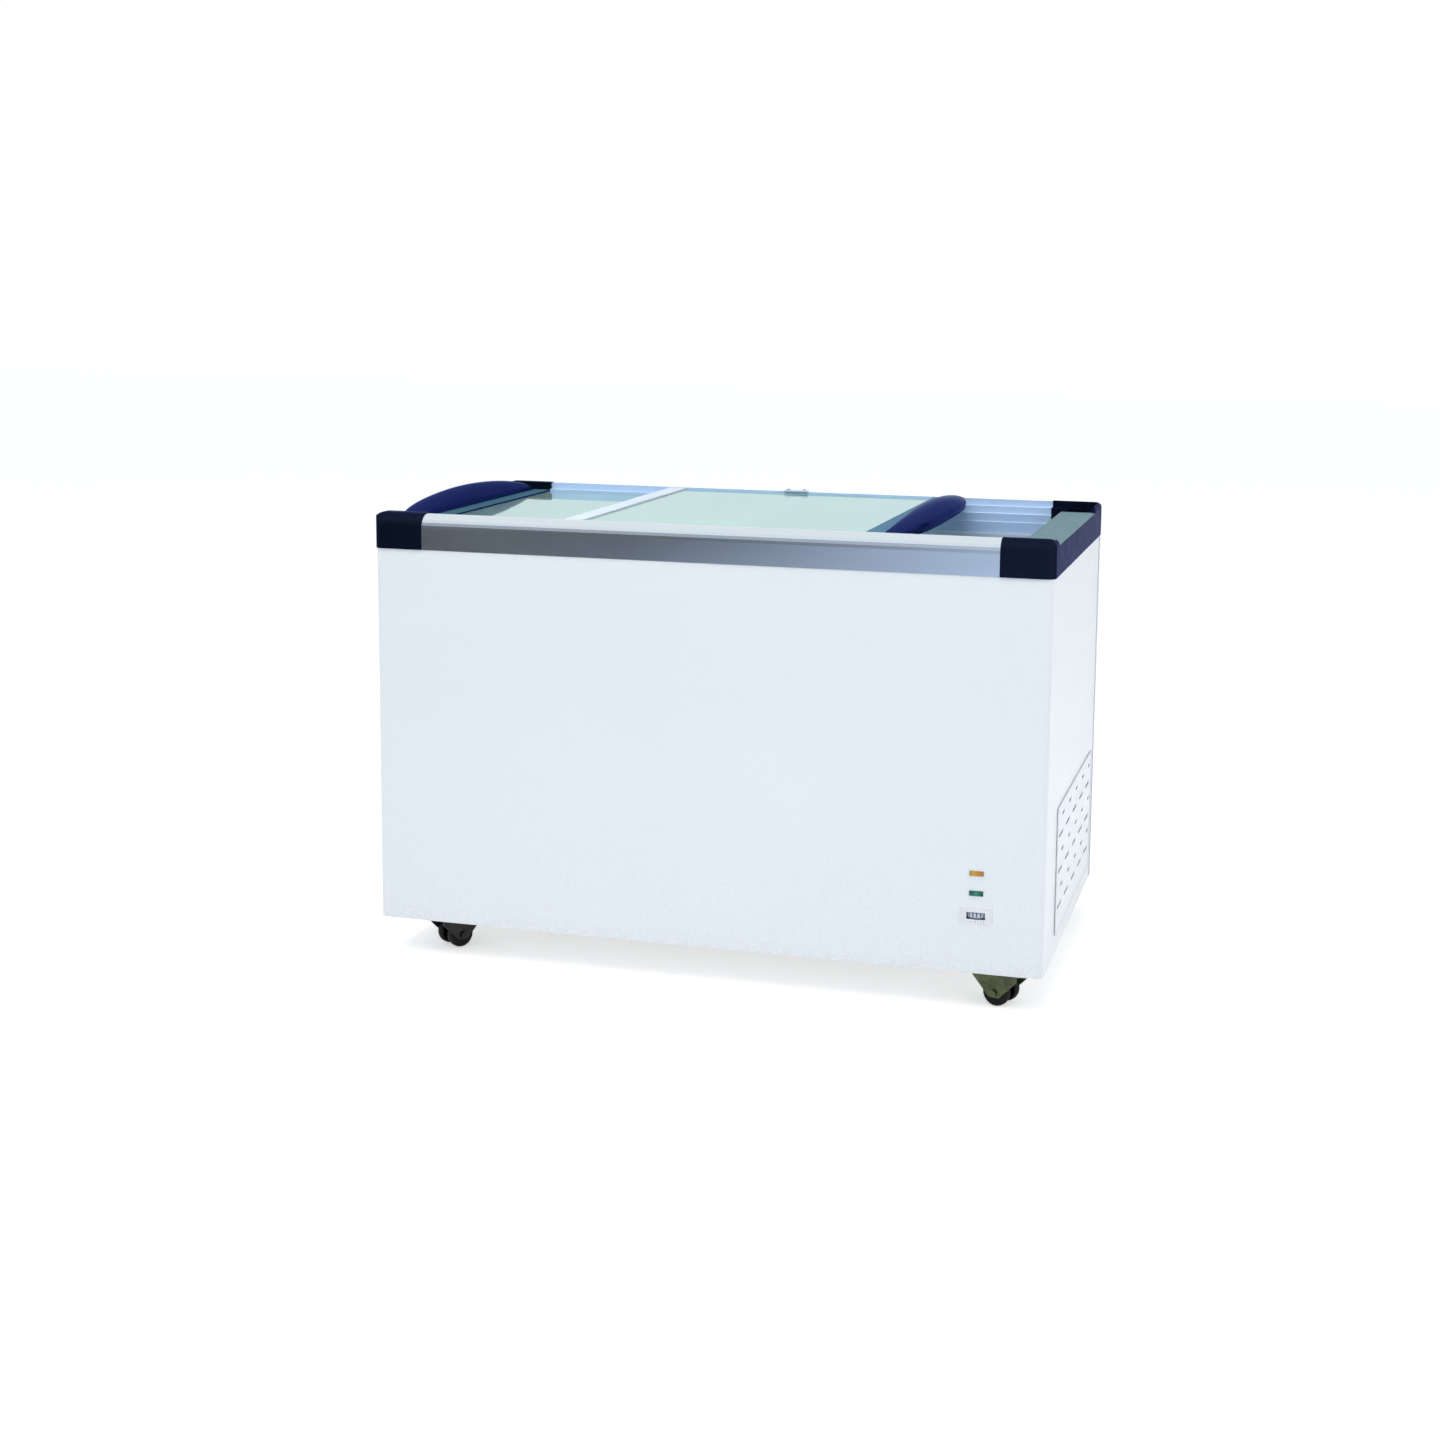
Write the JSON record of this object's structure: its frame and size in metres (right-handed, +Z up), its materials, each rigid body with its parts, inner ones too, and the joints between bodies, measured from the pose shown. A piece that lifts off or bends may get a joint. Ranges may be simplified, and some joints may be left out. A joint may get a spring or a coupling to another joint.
{
  "type": "chest freezer",
  "caption": "Low commercial chest freezer with sliding flat glass lids, arched lid handles, aluminium rails, moulded end caps, side vent grille and twin-wheel casters.",
  "frame": {"origin": "on the floor under the middle of the cabinet, at the middle of the whole box in plan", "axes": "+X to the right of someone who faces the front, +Y from the front to the rear, +Z up"},
  "size_m": [1.256, 0.691, 0.8634],
  "materials": {
    "body_paint": "semi-gloss white powder paint",
    "liner_paint": "smooth pale blue-white paint",
    "foam": "matt rigid foam",
    "pale_plastic": "satin pale plastic",
    "white_plastic": "satin white plastic",
    "zinc_steel": "zinc-plated sheet",
    "zinc_yellow": "yellow passivated zinc plate",
    "black_rubber": "matt black rubber",
    "caster_black": "black tread, slightly glossy",
    "rail_aluminium": "satin anodised extrusion",
    "navy_plastic": "glossy near-black navy moulding",
    "handle_plastic": "glossy deep blue moulding",
    "black_plastic": "satin black plastic",
    "amber_plastic": "glossy amber plastic",
    "green_plastic": "glossy green lens",
    "dial_plastic": "ribbed blue-grey plastic",
    "lid_glass": "clear tempered glass with a faint green tint",
    "black_steel": "black enamel",
    "copper": "bare copper"
  },
  "bodies": {
    "cabinet": {"outer_shell": "body_paint", "rear_panel": "body_paint", "side_grille": "body_paint", "inner_liner": "liner_paint", "insulation_foam": "foam", "breaker_collar": "pale_plastic", "drain_tube": "pale_plastic", "drain_plug": "black_rubber", "base_pan": "zinc_steel", "machine_bulkhead": "zinc_steel", "compressor_plate": "zinc_steel", "fan_frame": "zinc_steel", "front_rail": "rail_aluminium", "rear_rail": "rail_aluminium", "rear_rail_stop": "pale_plastic", "left_end_cap": "navy_plastic", "right_end_cap": "navy_plastic", "switch_bezel": "white_plastic", "lamp_bezel": "white_plastic", "lamp_lens": "green_plastic", "thermostat_plate": "white_plastic", "thermostat_body": "black_plastic", "compressor": "black_steel", "relay_box": "black_plastic", "grommet_1": "black_rubber", "grommet_2": "black_rubber", "grommet_3": "black_rubber", "grommet_4": "black_rubber", "condenser": "black_steel", "fan_motor": "black_steel", "filter_drier": "copper", "discharge_pipe": "copper", "suction_pipe": "copper", "cable_gland": "black_plastic", "caster_plate_front_left": "zinc_yellow", "caster_plate_front_right": "zinc_yellow", "caster_plate_rear_left": "zinc_yellow", "caster_plate_rear_right": "zinc_yellow"},
    "left_lid": {"left_lid_glass": "lid_glass", "left_lid_handle": "handle_plastic", "left_lid_end_strip": "pale_plastic", "left_lid_front_runner": "pale_plastic", "left_lid_rear_runner": "pale_plastic"},
    "right_lid": {"right_lid_glass": "lid_glass", "right_lid_handle": "handle_plastic", "right_lid_end_strip": "pale_plastic", "right_lid_front_runner": "pale_plastic", "right_lid_rear_runner": "pale_plastic"},
    "rocker": {"rocker_switch": "amber_plastic"},
    "thermostat_dial": {"thermostat_wheel": "dial_plastic"},
    "fan": {"fan_blade": "black_plastic"},
    "fork_front_left": {"caster_fork_front_left": "zinc_yellow"},
    "fork_front_right": {"caster_fork_front_right": "zinc_yellow"},
    "fork_rear_left": {"caster_fork_rear_left": "zinc_yellow"},
    "fork_rear_right": {"caster_fork_rear_right": "zinc_yellow"},
    "wheels_front_left": {"caster_wheels_front_left": "caster_black"},
    "wheels_front_right": {"caster_wheels_front_right": "caster_black"},
    "wheels_rear_left": {"caster_wheels_rear_left": "caster_black"},
    "wheels_rear_right": {"caster_wheels_rear_right": "caster_black"}
  },
  "joints": [
    {"name": "left_lid_slide", "type": "slide", "parent": "cabinet", "child": "left_lid", "axis": [1, 0, 0], "range_m": [0, 0.241]},
    {"name": "right_lid_slide", "type": "slide", "parent": "cabinet", "child": "right_lid", "axis": [1, 0, 0], "range_m": [0, 0.241]},
    {"name": "rocker_press", "type": "hinge", "parent": "cabinet", "child": "rocker", "pos_m": [0.506, -0.3415, 0.2515], "axis": [0, 0, 1], "range_deg": [-13, 0]},
    {"name": "thermostat_turn", "type": "hinge", "parent": "cabinet", "child": "thermostat_dial", "pos_m": [0.506, -0.3251, 0.1755], "axis": [0, 0, 1], "range_deg": [-150, 150]},
    {"name": "fan_spin", "type": "hinge", "parent": "cabinet", "child": "fan", "pos_m": [0.5125, -0.115, 0.1683], "axis": [1, 0, 0], "continuous": true},
    {"name": "swivel_front_left", "type": "hinge", "parent": "cabinet", "child": "fork_front_left", "pos_m": [-0.525, -0.2675, 0.062], "axis": [0, 0, 1], "continuous": true},
    {"name": "swivel_front_right", "type": "hinge", "parent": "cabinet", "child": "fork_front_right", "pos_m": [0.525, -0.2675, 0.062], "axis": [0, 0, 1], "continuous": true},
    {"name": "swivel_rear_left", "type": "hinge", "parent": "cabinet", "child": "fork_rear_left", "pos_m": [-0.525, 0.2675, 0.062], "axis": [0, 0, 1], "continuous": true},
    {"name": "swivel_rear_right", "type": "hinge", "parent": "cabinet", "child": "fork_rear_right", "pos_m": [0.525, 0.2675, 0.062], "axis": [0, 0, 1], "continuous": true},
    {"name": "roll_front_left", "type": "hinge", "parent": "fork_front_left", "child": "wheels_front_left", "pos_m": [-0.51382, -0.25092, 0.025], "axis": [-0.829, 0.5592, 0], "continuous": true},
    {"name": "roll_front_right", "type": "hinge", "parent": "fork_front_right", "child": "wheels_front_right", "pos_m": [0.54379, -0.27434, 0.025], "axis": [0.342, 0.9397, 0], "continuous": true},
    {"name": "roll_rear_left", "type": "hinge", "parent": "fork_rear_left", "child": "wheels_rear_left", "pos_m": [-0.53439, 0.28516, 0.025], "axis": [-0.8829, -0.4695, 0], "continuous": true},
    {"name": "roll_rear_right", "type": "hinge", "parent": "fork_rear_right", "child": "wheels_rear_right", "pos_m": [0.54076, 0.27981, 0.025], "axis": [-0.6157, 0.788, 0], "continuous": true}
  ]
}
